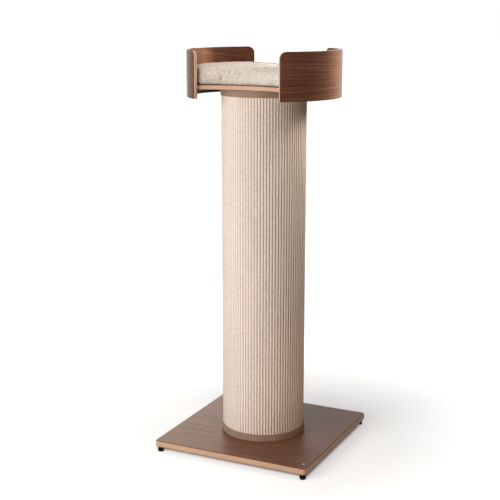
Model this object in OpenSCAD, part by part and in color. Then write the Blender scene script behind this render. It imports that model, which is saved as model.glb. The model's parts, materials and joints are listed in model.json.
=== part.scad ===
// Cat scratching tower: a square veneered base on four levelling feet, a thick sisal column and a
// round perch with two bent walls, open at the front and the back, and a loose cushion.
// Millimetres. Z is up, the floor is z = 0, and the origin is under the middle of the base.
// The front, through which the perch is entered, faces -Y.

/* [Base] */
// Width of the base, along X
base_w = 500; // [420:5:700]
// Depth of the base, along Y
base_d = 500; // [420:5:700]
// Thickness of the base board
base_t = 20; // [18:1:40]
// Radius of the base's corners, seen from above
base_corner_r = 11; // [6:1:40]
// Rounding of the base's top and bottom edges
base_edge_r = 3; // [1:0.5:5]

/* [Levelling feet] */
// Diameter of a foot's pad
foot_d = 18.5; // [17:0.5:26]
// Height of a foot's pad
foot_pad_h = 11.3; // [10:0.1:20]
// Height of the hexagon between the pad and the base
foot_hex_h = 4.5; // [3:0.5:8]
// Width of that hexagon across its flats
foot_hex_af = 13; // [10:1:15]
// Distance from the sides of the base to a foot's axis
foot_inset = 14.2; // [13:0.1:60]
// Diameter of a foot's threaded stud
foot_stud_d = 6; // [5:1:8]
// Length of the stud above the hexagon
foot_stud_l = 14; // [10:1:15]
// How far a foot screws out
foot_travel = 6; // [2:1:8]
// Wall of the threaded inserts that take the studs
foot_insert_wall = 2; // [1.5:0.5:3]

/* [Top screw] */
// Diameter of the small screw head in the base's top
top_screw_d = 6.4; // [5:0.2:9]
// Distance of that screw from the base's right side
top_screw_side = 21.5; // [20:0.5:60]
// Distance of that screw from the base's front edge
top_screw_front = 35.2; // [28:0.2:80]
// Length of that screw
top_screw_l = 14; // [8:1:16]

/* [Column] */
// Diameter of the column over the sisal ribs
column_d = 253; // [200:1:300]
// Height of the column, from the base to the platform
column_h = 1062; // [400:1:1600]
// Thickness of the sisal sleeve, ribs included
sisal_t = 4; // [3:0.5:7]
// Number of upright ribs round the sleeve
rib_count = 88; // [60:1:120]
// Depth of the grooves between the ribs
rib_depth = 1.5; // [0.5:0.1:2]
// Wall of the tube that carries the sleeve
tube_wall = 6; // [4:0.5:10]
// Thickness of the discs that close the tube's ends
disc_t = 18; // [17:1:30]
// Height of the binding round each end of the sleeve
band_h = 22; // [12:1:40]
// Thickness of the binding
band_t = 2.5; // [1:0.5:4]

/* [Perch] */
// Outside diameter of the perch, over its walls
perch_d = 457; // [400:1:600]
// Thickness of the bent walls
wall_t = 10; // [8:1:14]
// Height of the bent walls
wall_h = 137; // [100:1:220]
// How far the walls hang below the platform's underside
wall_drop = 26; // [22:1:40]
// Angle of the front opening between the walls
entry_angle = 71; // [50:1:90]
// Angle of the back opening between the walls
back_angle = 66; // [50:1:90]
// Radius of the walls' upper corners
wall_corner_r = 20; // [12:1:40]
// Radius of the walls' lower corners
wall_foot_r = 6; // [6:0.5:8]
// Rounding of the walls' upright ends
wall_end_round = 3; // [1:0.5:3.5]
// Rounding of the walls' top and bottom edges
wall_rim_round = 1; // [0.5:0.5:3]
// Thickness of the platform
platform_t = 13; // [12:1:24]
// Depth of the platform at its waist, between its curved front and back edges
platform_waist = 288; // [276:1:320]
// How far the platform's corners lie behind the tips of the walls
platform_setback = 9; // [4:1:20]

/* [Cushion] */
// Thickness of the cushion in the middle
cushion_t = 50; // [30:1:80]
// How much the middle of the cushion stands above its shoulder
cushion_crown = 5; // [2:1:12]
// How far the cushion's edge lies behind the platform's front edge
cushion_setback = 2; // [0:0.5:10]
// Thickness of the cushion's cover
cover_t = 3; // [2:0.5:5]

/* [Fasteners] */
// Diameter of the bolts that hold the column and the platform
bolt_d = 8; // [6:1:10]
// Diameter of the circle on which those bolts stand
bolt_circle_d = 160; // [100:5:180]
// Number of bolts at each end of the column
bolt_count = 4; // [3:1:6]
// How deep the bolts reach into the column's inserts
bolt_grip = 12; // [8:1:14]
// Number of screws through the tube into each disc
tube_screw_count = 6; // [4:1:12]
// Length of the screws through the tube
tube_screw_l = 25; // [18:1:30]
// Number of brackets under each wall
bracket_count = 3; // [2:1:5]
// Length of a bracket's legs
bracket_leg = 20; // [16:1:21]
// Width of a bracket along the wall
bracket_w = 24; // [16:1:40]
// Thickness of the brackets
bracket_t = 2; // [1.5:0.5:3]
// Diameter of the wood screws
screw_d = 3.5; // [3:0.5:4]
// Wood left beyond the tips of those screws
screw_cover = 2.5; // [1:0.5:4]

/* [Hidden] */
$fn = 64;
large_fn = 192;          // fineness of the column's and the perch's circles

// Clearances
seat_gap = 0.1;         // between a foot's hexagon and the base, and between its pad and the hexagon
running_gap = 0.05;     // round a stud, on the radius
collar_gap = 0.1;       // round the collar inside a pad
rim_gap = 0.1;          // between the platform or a bracket and the walls
hole_gap = 0.3;         // round a bolt, on the radius
screw_gap = 0.05;       // round a wood screw, on the radius
cushion_gap = 0.6;      // between the cushion and the walls
cushion_rest_gap = 0.3; // between the cushion and the platform
foam_gap = 0.3;         // between the foam and its cover
cut = 1;                // how far a cutting shape runs past a face

// Heights
base_z = foot_pad_h + foot_hex_h + 2 * seat_gap;
base_top_z = base_z + base_t;
platform_z = base_top_z + column_h;
platform_top_z = platform_z + platform_t;
wall_z = platform_z - wall_drop;
cushion_z = platform_top_z + cushion_rest_gap;

// Radii
column_r = column_d / 2;
tube_r = column_r - sisal_t;
tube_inner_r = tube_r - tube_wall;
perch_r = perch_d / 2;
wall_inner_r = perch_r - wall_t;
wall_mid_r = perch_r - wall_t / 2;
platform_r = wall_inner_r - rim_gap;

// Feet
foot_corners = [[-1, -1], [1, -1], [-1, 1], [1, 1]];
foot_insert_r = foot_stud_d / 2 + foot_insert_wall;
foot_insert_l = foot_stud_l - 1;
foot_pocket_l = foot_stud_l + 0.5;
foot_edge_r = 1.5;
foot_neck_l = foot_pad_h * 0.65;
foot_collar_h = 3;
foot_collar_r = foot_stud_d / 2 + 2;

// Top screw
top_screw_shank_r = top_screw_d / 4;
top_screw_head_h = top_screw_d / 3;
top_screw_dome = 0.5;

// Bolts, the inserts that take them and the recesses for their heads
bolt_r = bolt_d / 2;
socket_head_r = bolt_d * 0.8;
socket_head_h = bolt_d * 0.9;
flat_head_r = bolt_d * 1.25;
flat_head_h = bolt_d * 0.28;
hex_key_af = bolt_d * 0.7;
washer_r = bolt_d * 1.25;
washer_h = 1.6;
washer_recess = 0.4;
base_recess_h = socket_head_h + washer_h + washer_recess;
insert_r = bolt_r + 2;
insert_l = 15;
base_bolt_l = washer_h + base_t - base_recess_h + bolt_grip;
platform_bolt_l = platform_t - flat_head_h + bolt_grip;

// Tube screws
tube_screw_r = 2;
tube_screw_head_r = 4;
tube_screw_head_h = 2.2;
tube_screw_z = disc_t / 2;
tube_screw_recess = 0.3;

// The wider of the two openings
open_angle = max(entry_angle, back_angle);

// Brackets and their screws
bracket_outer_r = wall_inner_r - rim_gap;
bracket_angle = bracket_w / bracket_outer_r * 180 / PI;
bracket_spread = 180 - open_angle - 40;
bracket_screw_z = platform_z - bracket_leg * 0.6;
bracket_screw_r = bracket_outer_r - bracket_leg * 0.6;
pan_head_r = screw_d;
pan_head_h = 2;
pan_seat = pow(pan_head_r, 2) / (2 * (bracket_outer_r - bracket_t));

// Platform: its front and back edges are arcs that pass through its corners and its waist
platform_corner_angle = open_angle / 2 + platform_setback / wall_mid_r * 180 / PI;
waist_half_chord = platform_r * sin(platform_corner_angle);
waist_sagitta = platform_r * cos(platform_corner_angle) - platform_waist / 2;
waist_arc_r = (pow(waist_half_chord, 2) + pow(waist_sagitta, 2)) / (2 * waist_sagitta);
waist_centre_y = platform_waist / 2 + waist_arc_r;

// Walls: a slab of even thickness, bent round the perch, its edges rounded over
wall_end_r = min(wall_end_round, wall_t / 2 - 0.5);
wall_rim_r = min(wall_rim_round, wall_t / 2 - 0.5);
wall_top_r = max(wall_corner_r, wall_end_r + 1);
wall_low_r = max(wall_foot_r, wall_end_r + 1);
wall_half_l = (90 - (entry_angle + back_angle) / 4) * PI / 180 * wall_mid_r;
wall_turn = (entry_angle - back_angle) / 4;
wall_columns = 44;
wall_corner_steps = 8;
wall_edge_steps = 3;

// Cushion
cushion_r = wall_inner_r - cushion_gap;
cushion_points = 72;
cushion_corner_blend = 24;
shoulder_t = cushion_t - cushion_crown;

// Each ring of the cushion is [how far it lies inside the outline, its height]
cover_rings = [
    [14, 0], [6, 1.5], [1.5, shoulder_t * 0.16], [0, shoulder_t * 0.42], [1.2, shoulder_t * 0.68],
    [5, shoulder_t * 0.86], [13, shoulder_t * 0.97], [30, shoulder_t + cushion_crown * 0.3],
    [75, shoulder_t + cushion_crown * 0.75]
];
foam_shoulder_t = shoulder_t - cover_t;
void_rings = [
    [12, cover_t], [cover_t, shoulder_t * 0.3], [cover_t + 2, shoulder_t * 0.68],
    [30, foam_shoulder_t + cushion_crown * 0.3]
];
void_top = cushion_t - cover_t;

function bracket_angles() =
    [for (i = [0 : bracket_count - 1]) bracket_spread * (i / (bracket_count - 1) - 0.5)];

// How far the front or back arc lies from the middle of the perch, in the direction of an angle
function arc_distance(angle, setback) =
    let (along = waist_centre_y * abs(sin(angle)),
         arc_r = waist_arc_r + setback,
         under = pow(along, 2) - pow(waist_centre_y, 2) + pow(arc_r, 2))
    under < 0 ? 3 * perch_r : along - sqrt(under);

// Radius of the cushion's outline: the nearer of the wall and the arc, with the corners between blended
function cushion_outline(angle) =
    let (arc_r = arc_distance(angle, cushion_setback), k = cushion_corner_blend)
    pow(pow(cushion_r, -k) + pow(arc_r, -k), -1 / k);

function cushion_ring(inset, z) = [
    for (i = [0 : cushion_points - 1])
        let (a = 360 * i / cushion_points, r = cushion_outline(a) - inset)
        [r * cos(a), r * sin(a), z]
];

// A closed solid through rings of points, with a point at the middle of its bottom and top
module ringed_solid(rings, bottom_z, top_z) {
    n = len(rings[0]);
    levels = len(rings);
    points = [
        each [for (ring = rings) each ring],
        [0, 0, bottom_z],
        [0, 0, top_z]
    ];
    sides = [
        for (k = [0 : levels - 2], i = [0 : n - 1])
            let (j = (i + 1) % n, low = k * n, high = (k + 1) * n)
            each [[low + i, high + i, high + j], [low + i, high + j, low + j]]
    ];
    bottom = [for (i = [0 : n - 1]) [n * levels, i, (i + 1) % n]];
    top_ring = (levels - 1) * n;
    top = [for (i = [0 : n - 1]) [n * levels + 1, top_ring + (i + 1) % n, top_ring + i]];
    polyhedron(points = points, faces = concat(sides, bottom, top), convexity = 4);
}

// The wall's rounded edge in section: [which face it leads to, angle from the edge's plane to it]
wall_section = concat(
    [for (k = [wall_edge_steps : -1 : 0]) [-1, 90 * k / wall_edge_steps]],
    [for (k = [0 : wall_edge_steps]) [1, 90 * k / wall_edge_steps]]
);

// Rounding of the wall's edge where its outline faces an angle, from 0 at the rims to 90 at the ends
function wall_round(a) = wall_rim_r + (wall_end_r - wall_rim_r) * a / 90;

// A point at a distance along the flat wall and at a height, bent round the perch
function bent(along, height, out) =
    let (a = along / wall_mid_r * 180 / PI, r = wall_mid_r + out)
    [r * cos(a), r * sin(a), height];

function wall_inset(a, part) = wall_round(a) * (1 - cos(part[1]));

function wall_out(a, part) = part[0] * (wall_t / 2 - wall_round(a) * (1 - sin(part[1])));

function wall_top_point(side, step, part) =
    let (a = 90 * step / wall_corner_steps, r = wall_top_r - wall_inset(a, part))
    bent(side * (wall_half_l - wall_top_r + r * sin(a)), wall_h - wall_top_r + r * cos(a), wall_out(a, part));

function wall_bottom_point(side, step, part) =
    let (half = wall_corner_steps / 2,
         run = min(step / half, 1),
         a = 90 * max(step / half - 1, 0),
         r = wall_low_r - wall_inset(a, part),
         bend_start = wall_half_l - wall_low_r - (1 - run) * (wall_top_r - wall_low_r))
    bent(side * (bend_start + r * sin(a)), wall_low_r - r * cos(a), wall_out(a, part));

function wall_straight(height, part) =
    let (reach = wall_half_l - wall_top_r)
    [for (i = [1 : wall_columns - 1]) bent(reach * (2 * i / wall_columns - 1), height, wall_out(0, part))];

function wall_top_edge(part) = concat(
    [for (s = [wall_corner_steps : -1 : 0]) wall_top_point(-1, s, part)],
    wall_straight(wall_h - wall_inset(0, part), part),
    [for (s = [0 : wall_corner_steps]) wall_top_point(1, s, part)]
);

function wall_bottom_edge(part) = concat(
    [for (s = [wall_corner_steps : -1 : 0]) wall_bottom_point(-1, s, part)],
    wall_straight(wall_inset(0, part), part),
    [for (s = [0 : wall_corner_steps]) wall_bottom_point(1, s, part)]
);

// One ring of points round the wall: its top edge, then its bottom edge backwards
function wall_loop(part) =
    let (bottom = wall_bottom_edge(part), last = len(bottom) - 1)
    concat(wall_top_edge(part), [for (i = [last : -1 : 0]) bottom[i]]);

// One bent wall, on the +X side, standing on z = 0
module bent_wall() {
    loops = [for (part = wall_section) wall_loop(part)];
    n = len(loops[0]);
    across = n / 2;
    last = len(loops) - 1;
    rim = [
        for (k = [0 : last - 1], i = [0 : n - 1])
            let (j = (i + 1) % n, low = k * n, high = (k + 1) * n)
            each [[low + i, low + j, high + j], [low + i, high + j, high + i]]
    ];
    outer = last * n;
    inner_face = [
        for (i = [0 : across - 2])
            let (top_a = i, top_b = i + 1, low_a = n - 1 - i, low_b = n - 2 - i)
            each [[top_a, low_b, top_b], [top_a, low_a, low_b]]
    ];
    outer_face = [
        for (i = [0 : across - 2])
            let (top_a = outer + i, top_b = top_a + 1, low_a = outer + n - 1 - i, low_b = low_a - 1)
            each [[top_a, top_b, low_b], [top_a, low_b, low_a]]
    ];
    polyhedron(
        points = [for (loop = loops) each loop],
        faces = concat(rim, inner_face, outer_face),
        convexity = 6
    );
}

// The base's outline, drawn in by an inset
module base_outline(inset) {
    r = max(base_corner_r - inset, 1);
    x = base_w / 2 - inset - r;
    y = base_d / 2 - inset - r;
    hull()
        for (sx = [-1, 1], sy = [-1, 1])
            translate([sx * x, sy * y])
                circle(r, $fn = 32);
}

// The base board with rounded top and bottom edges, from slices that follow a quarter circle
module base_board() {
    hull()
        for (a = [0, 22.5, 45, 67.5, 90]) {
            inset = base_edge_r * (1 - cos(a));
            rise = base_edge_r * (1 - sin(a));
            translate([0, 0, rise])
                linear_extrude(base_t - 2 * rise)
                    base_outline(inset);
        }
}

module at_feet() {
    for (c = foot_corners)
        translate([c[0] * (base_w / 2 - foot_inset), c[1] * (base_d / 2 - foot_inset), 0])
            children();
}

module at_bolts() {
    for (i = [0 : bolt_count - 1])
        rotate(45 + 360 * i / bolt_count)
            translate([bolt_circle_d / 2, 0, 0])
                children();
}

// Places children round the tube, with +Z of the child pointing to the column's axis
module at_tube_screws(z) {
    for (i = [0 : tube_screw_count - 1])
        rotate(360 * (i + 0.5) / tube_screw_count)
            translate([tube_r - tube_screw_recess, 0, z])
                rotate([0, -90, 0])
                    children();
}

module at_top_screw() {
    translate([base_w / 2 - top_screw_side, -base_d / 2 + top_screw_front, base_top_z])
        children();
}

// A countersunk screw, its head's face at z = 0 and its tip along +Z
module countersunk(shank_r, head_r, head_h, length) {
    cylinder(h = head_h, r1 = head_r, r2 = shank_r);
    cylinder(h = length, r = shank_r);
}

// A bolt with a hexagon socket, its head's face at z = 0 and its shank along +Z
module socket_bolt(head_r, head_h, length) {
    socket_depth = head_h * 0.55;
    difference() {
        union() {
            cylinder(h = head_h, r = head_r);
            translate([0, 0, head_h])
                cylinder(h = length, r = bolt_r);
        }
        translate([0, 0, -cut])
            cylinder(h = socket_depth + cut, r = hex_key_af / sqrt(3), $fn = 6);
    }
}

module tube_ring(outer_r, inner_r, height) {
    fineness = outer_r > 60 ? large_fn : $fn;
    difference() {
        cylinder(h = height, r = outer_r, $fn = fineness);
        translate([0, 0, -cut])
            cylinder(h = height + 2 * cut, r = inner_r, $fn = fineness);
    }
}

module base_plate() {
    color("#5f4231")
    difference() {
        translate([0, 0, base_z])
            base_board();
        at_feet()
            translate([0, 0, base_z - cut])
                cylinder(h = foot_pocket_l + cut, r = foot_insert_r);
        at_bolts() {
            translate([0, 0, base_z - cut])
                cylinder(h = base_recess_h + cut, r = washer_r + hole_gap);
            translate([0, 0, base_z])
                cylinder(h = base_t + cut, r = bolt_r + hole_gap);
        }
        at_top_screw() {
            translate([0, 0, cut])
                mirror([0, 0, 1])
                    cylinder(h = top_screw_l + cut, r = top_screw_shank_r);
            mirror([0, 0, 1])
                cylinder(h = top_screw_head_h, r1 = top_screw_d / 2, r2 = top_screw_shank_r);
        }
    }
}

module foot_inserts() {
    color("#b39a5e")
    at_feet()
        translate([0, 0, base_z])
            tube_ring(foot_insert_r, foot_stud_d / 2 + running_gap, foot_insert_l);
}

// A small countersunk screw with a low domed head
module top_screw() {
    dome_r = (pow(top_screw_d / 2, 2) + pow(top_screw_dome, 2)) / (2 * top_screw_dome);
    color("#d8d8d8")
    at_top_screw() {
        mirror([0, 0, 1])
            countersunk(top_screw_shank_r, top_screw_d / 2, top_screw_head_h, top_screw_l);
        intersection() {
            translate([0, 0, top_screw_dome - dome_r])
                sphere(dome_r);
            cylinder(h = 2 * top_screw_dome, r = top_screw_d / 2);
        }
    }
}

// The pad of a foot, hollowed for the collar of its stud
module foot_pad() {
    r = foot_d / 2;
    neck_z = foot_pad_h - foot_neck_l;
    collar_top = neck_z + foot_collar_h;
    color("#151515")
    rotate_extrude()
        polygon([
            [0, 0],
            for (a = [0 : 15 : 90])
                [r - foot_edge_r * (1 - sin(a)), foot_edge_r * (1 - cos(a))],
            for (a = [0 : 30 : 90])
                [r - foot_edge_r / 2 * (1 - cos(a)), foot_pad_h - foot_edge_r / 2 * (1 - sin(a))],
            [foot_stud_d / 2 + running_gap, foot_pad_h],
            [foot_stud_d / 2 + running_gap, collar_top + collar_gap],
            [foot_collar_r + collar_gap, collar_top + collar_gap],
            [foot_collar_r + collar_gap, neck_z - collar_gap],
            [0, neck_z - collar_gap]
        ]);
}

// The stud of a foot: a collar held in the pad, a hexagon and a threaded shank
module foot_stud() {
    color("#2b2b2b") {
        translate([0, 0, foot_pad_h - foot_neck_l])
            cylinder(h = foot_collar_h, r = foot_collar_r);
        translate([0, 0, foot_pad_h - foot_neck_l])
            cylinder(h = foot_neck_l + seat_gap + foot_hex_h + seat_gap + foot_stud_l, r = foot_stud_d / 2);
        translate([0, 0, foot_pad_h + seat_gap])
            cylinder(h = foot_hex_h, r = foot_hex_af / sqrt(3), $fn = 6);
    }
}

module place_foot(index) {
    c = foot_corners[index];
    translate([c[0] * (base_w / 2 - foot_inset), c[1] * (base_d / 2 - foot_inset), 0])
        children();
}

module base_bolts() {
    color("#8d8d8d")
    at_bolts()
        translate([0, 0, base_z + washer_recess])
            socket_bolt(socket_head_r, socket_head_h, base_bolt_l);
}

module base_washers() {
    color("#a8a8a8")
    at_bolts()
        translate([0, 0, base_z + washer_recess + socket_head_h])
            tube_ring(washer_r, bolt_r + hole_gap, washer_h);
}

// A disc that closes an end of the tube, with pockets for the bolts' inserts and holes for the tube's screws
module tube_disc() {
    difference() {
        cylinder(h = disc_t, r = tube_inner_r, $fn = large_fn);
        at_bolts() {
            translate([0, 0, -cut])
                cylinder(h = insert_l + cut, r = insert_r);
            translate([0, 0, -cut])
                cylinder(h = disc_t + 2 * cut, r = bolt_r + hole_gap);
        }
        at_tube_screws(tube_screw_z)
            cylinder(h = tube_screw_l, r = tube_screw_r + screw_gap);
    }
}

module disc_inserts() {
    at_bolts()
        tube_ring(insert_r, bolt_r + screw_gap, insert_l);
}

module tube_screws(z) {
    at_tube_screws(z)
        countersunk(tube_screw_r, tube_screw_head_r, tube_screw_head_h, tube_screw_l);
}

module bottom_disc() {
    color("#c9a878")
    translate([0, 0, base_top_z])
        tube_disc();
}

module bottom_disc_inserts() {
    color("#b39a5e")
    translate([0, 0, base_top_z])
        disc_inserts();
}

module bottom_tube_screws() {
    color("#a8a8a8")
    tube_screws(base_top_z + tube_screw_z);
}

module column_tube() {
    color("#b08d62")
    difference() {
        translate([0, 0, base_top_z])
            tube_ring(tube_r, tube_inner_r, column_h);
        for (z = [base_top_z + tube_screw_z, platform_z - tube_screw_z])
            at_tube_screws(z) {
                translate([0, 0, -cut])
                    cylinder(h = cut, r = tube_screw_head_r);
                cylinder(h = tube_screw_head_h, r1 = tube_screw_head_r, r2 = tube_screw_r + screw_gap);
                cylinder(h = tube_wall + cut, r = tube_screw_r + screw_gap);
            }
    }
}

// The sisal sleeve: upright rounded ribs side by side
module sisal_sleeve() {
    points_per_rib = 6;
    groove_r = column_r - rib_depth;
    color("#e0cdb4")
    translate([0, 0, base_top_z])
        difference() {
            linear_extrude(column_h)
                polygon([
                    for (i = [0 : rib_count * points_per_rib - 1])
                        let (a = 360 * i / (rib_count * points_per_rib),
                             across = 2 * (i % points_per_rib) / points_per_rib - 1,
                             r = groove_r + rib_depth * sqrt(1 - pow(across, 2)))
                        [r * cos(a), r * sin(a)]
                ]);
            translate([0, 0, -cut])
                cylinder(h = column_h + 2 * cut, r = tube_r, $fn = large_fn);
        }
}

module binding(z) {
    color("#8c7664")
    translate([0, 0, z])
        tube_ring(column_r + band_t, column_r, band_h);
}

module binding_bottom() {
    binding(base_top_z);
}

module binding_top() {
    binding(platform_z - band_h);
}

module top_disc() {
    color("#c9a878")
    translate([0, 0, platform_z])
        mirror([0, 0, 1])
            tube_disc();
}

module top_disc_inserts() {
    color("#b39a5e")
    translate([0, 0, platform_z])
        mirror([0, 0, 1])
            disc_inserts();
}

module top_tube_screws() {
    color("#a8a8a8")
    tube_screws(platform_z - tube_screw_z);
}

module platform() {
    color("#c79c74")
    difference() {
        translate([0, 0, platform_z])
            linear_extrude(platform_t)
                difference() {
                    circle(platform_r, $fn = large_fn);
                    for (side = [-1, 1])
                        translate([0, side * waist_centre_y])
                            circle(waist_arc_r, $fn = large_fn);
                }
        at_bolts() {
            translate([0, 0, platform_z - cut])
                cylinder(h = platform_t + 2 * cut, r = bolt_r + hole_gap);
            translate([0, 0, platform_top_z - flat_head_h])
                cylinder(h = flat_head_h + cut, r = flat_head_r + hole_gap);
        }
        at_brackets(0)
            platform_screw(screw_gap);
        at_brackets(180)
            platform_screw(screw_gap);
    }
}

module platform_bolts() {
    color("#8d8d8d")
    at_bolts()
        translate([0, 0, platform_top_z])
            mirror([0, 0, 1])
                socket_bolt(flat_head_r, flat_head_h, platform_bolt_l);
}

module wall(side) {
    color("#5f4231")
    difference() {
        translate([0, 0, wall_z])
            rotate(side + cos(side) * wall_turn)
                bent_wall();
        at_brackets(side)
            wall_screw(screw_gap);
    }
}

// Places children at each bracket of one wall, with +X of the child pointing outwards
module at_brackets(side) {
    for (a = bracket_angles())
        rotate(side + a)
            children();
}

// A screw up through a bracket into the platform
module platform_screw(gap) {
    translate([bracket_screw_r, 0, platform_z - bracket_t]) {
        cylinder(h = bracket_t + platform_t - screw_cover, r = screw_d / 2 + gap);
        translate([0, 0, -pan_head_h])
            cylinder(h = pan_head_h, r = pan_head_r);
    }
}

// A screw out through a bracket into the wall
module wall_screw(gap) {
    translate([bracket_outer_r - bracket_t - pan_seat, 0, bracket_screw_z])
        rotate([0, 90, 0]) {
            cylinder(h = pan_seat + bracket_t + rim_gap + wall_t - screw_cover, r = screw_d / 2 + gap);
            translate([0, 0, -pan_head_h])
                cylinder(h = pan_head_h, r = pan_head_r);
        }
}

// A steel angle that follows the wall's inner face, under the platform
module bracket() {
    inner_r = bracket_outer_r - bracket_leg;
    leg_r = bracket_outer_r - bracket_t;
    difference() {
        rotate(-bracket_angle / 2)
            rotate_extrude(angle = bracket_angle)
                polygon([
                    [inner_r, platform_z],
                    [inner_r, platform_z - bracket_t],
                    [leg_r, platform_z - bracket_t],
                    [leg_r, platform_z - bracket_leg],
                    [bracket_outer_r, platform_z - bracket_leg],
                    [bracket_outer_r, platform_z]
                ]);
        translate([bracket_screw_r, 0, platform_z - bracket_t - cut])
            cylinder(h = bracket_t + 2 * cut, r = screw_d / 2 + screw_gap);
        translate([leg_r - cut, 0, bracket_screw_z])
            rotate([0, 90, 0])
                cylinder(h = bracket_t + 2 * cut, r = screw_d / 2 + screw_gap);
    }
}

module brackets(side) {
    color("#8d8d8d")
    at_brackets(side)
        bracket();
}

module wall_screws(side) {
    color("#a8a8a8")
    at_brackets(side)
        wall_screw(0);
}

module platform_screws(side) {
    color("#a8a8a8")
    at_brackets(side)
        platform_screw(0);
}

// The cushion's cover, hollow for its foam
module cushion_cover() {
    color("#d9cfc3")
    translate([0, 0, cushion_z])
        difference() {
            ringed_solid([for (ring = cover_rings) cushion_ring(ring[0], ring[1])], 0, cushion_t);
            ringed_solid([for (ring = void_rings) cushion_ring(ring[0], ring[1])], cover_t, void_top);
        }
}

module cushion_foam() {
    rings = [
        for (ring = void_rings)
            let (rise = ring == void_rings[0] ? foam_gap : -foam_gap)
            cushion_ring(ring[0] + foam_gap, ring[1] + rise)
    ];
    color("#e8e0b0")
    translate([0, 0, cushion_z])
        ringed_solid(rings, cover_t + foam_gap, void_top - foam_gap);
}

base_plate();
foot_inserts();
top_screw();
place_foot(0) foot_pad();  // foot_pad_front_left
place_foot(1) foot_pad();  // foot_pad_front_right
place_foot(2) foot_pad();  // foot_pad_back_left
place_foot(3) foot_pad();  // foot_pad_back_right
place_foot(0) foot_stud();  // foot_stud_front_left
place_foot(1) foot_stud();  // foot_stud_front_right
place_foot(2) foot_stud();  // foot_stud_back_left
place_foot(3) foot_stud();  // foot_stud_back_right
base_bolts();
base_washers();
bottom_disc();
bottom_disc_inserts();
bottom_tube_screws();
column_tube();
sisal_sleeve();
binding_bottom();
binding_top();
top_disc();
top_disc_inserts();
top_tube_screws();
platform();
platform_bolts();
wall(180);  // wall_left
wall(0);  // wall_right
brackets(180);  // brackets_left
brackets(0);  // brackets_right
wall_screws(180);  // wall_screws_left
wall_screws(0);  // wall_screws_right
platform_screws(180);  // platform_screws_left
platform_screws(0);  // platform_screws_right
cushion_cover();
cushion_foam();
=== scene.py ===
"""The looks of the cat scratching tower, in metres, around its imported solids."""

import json
import math

import bmesh
import bpy
import numpy as np
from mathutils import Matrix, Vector, noise


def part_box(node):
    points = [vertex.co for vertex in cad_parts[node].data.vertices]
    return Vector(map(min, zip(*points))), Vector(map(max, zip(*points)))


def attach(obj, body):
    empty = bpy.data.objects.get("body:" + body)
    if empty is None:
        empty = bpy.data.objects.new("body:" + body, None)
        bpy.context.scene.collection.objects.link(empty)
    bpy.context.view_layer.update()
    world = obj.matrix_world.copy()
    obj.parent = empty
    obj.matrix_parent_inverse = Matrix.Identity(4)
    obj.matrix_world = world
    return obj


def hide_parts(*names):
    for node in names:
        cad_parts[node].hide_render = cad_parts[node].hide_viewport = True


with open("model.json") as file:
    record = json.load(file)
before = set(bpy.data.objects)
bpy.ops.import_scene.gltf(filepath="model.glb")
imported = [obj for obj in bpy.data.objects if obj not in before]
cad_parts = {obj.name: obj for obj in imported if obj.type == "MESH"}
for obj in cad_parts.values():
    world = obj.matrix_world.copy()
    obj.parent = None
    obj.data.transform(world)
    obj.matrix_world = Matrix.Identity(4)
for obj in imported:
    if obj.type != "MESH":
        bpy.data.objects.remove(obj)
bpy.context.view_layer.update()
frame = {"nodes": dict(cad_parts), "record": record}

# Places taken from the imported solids
base_low, base_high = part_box("base_plate")
sleeve_low, sleeve_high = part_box("sisal_sleeve")
platform_low, platform_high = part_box("platform")
wall_low, wall_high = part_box("wall_right")
cover_low, cover_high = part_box("cushion_cover")
screw_low, screw_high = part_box("top_screw")

# Base. Pairs for pockets and recesses are (radius, depth). The veneers are (top, underside): how far the
# walnut reaches onto the rounded edges, its reach over the lower rounding being painted shade. The painted
# light is (place along the grain, how much lighter the wood is painted there), a painted sheen that is
# strongest towards the board's left.
BASE_CORNER = 0.011
BASE_CORNER_STEPS = 12
BASE_EDGE = 0.003
BASE_BORDER = 0.0015
# The underside's reach covers the lower rounding with dark walnut, painted shade of the gap under the board
BASE_VENEERS_AND_PAINTED_SHADE = (0.0012, 0.0028)
BASE_PAINTED_LIGHT = ((0.12, 1.5), (0.35, 1.2), (0.62, 1.2))
BASE_GRAIN_START = (0.37, 0.11)
VENEER = 0.0006
FOOT_INSET = 0.0142
FOOT_POCKET = (0.005, 0.0145)
BOLT_PLACE = 0.08
HEAD_RECESS = (0.0103, 0.0092)
CUT_PAST = 0.001
BOARD_SHARP = 35

# Top screw
SCREW_SIDES = 48
SCREW_TIP = 0.0008
SCREW_TAPER = 0.001
SCREW_NECK = 0.0021
SCREW_SHARP = 40
CROSS_REACH = 0.45
CROSS_HALF = 0.00035
CROSS_DEPTH = 0.0012
CROSS_HEIGHT = 0.004

# Column
COLUMN = 0.1265
SLEEVE_INNER = 0.1225
SLEEVE_ROWS = 152
SLEEVE_SEED = 7
RIBS = 88
RIB_DEPTH = 0.0019
RIB_POINTS = 8
RIB_FULLNESS = 2.6
RIB_BENDS = (3, 7, 15, 31)
RIB_SWAY = 0.00028
RIB_SINK = 0.00012
RIB_KNOBS = 0.00007
RIB_CLEAR = 0.0001
SWAY_FADE = 0.05
BAND_HEIGHT = 0.022
BAND_OUT = 0.0025
BAND_BEND = 0.0011
BAND_POINTS = 6
BAND_PRINT = 0.00012
BAND_TUCK = 0.0001

# Perch
PERCH = 0.2285
WALL = 0.010
WALL_INNER = PERCH - WALL
WALL_MIDDLE = PERCH - WALL / 2
HALF_ENTRY = math.radians(35.5)
HALF_BACK = math.radians(33)
WALL_HALF_LENGTH = (math.pi - HALF_ENTRY - HALF_BACK) / 2 * WALL_MIDDLE
WALL_TURN = (HALF_ENTRY - HALF_BACK) / 2
WALL_TOP_CORNER = 0.020
WALL_LOW_CORNER = 0.006
WALL_END_ROUND = 0.003
WALL_RIM_ROUND = 0.001
WALL_BORDER = 0.0009
WALL_SHARES = (-1, 0, 0.33, 0.67, 1, 1.25, 1.5, 1.75, 2)
WALL_GRAIN_START = 3
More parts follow.
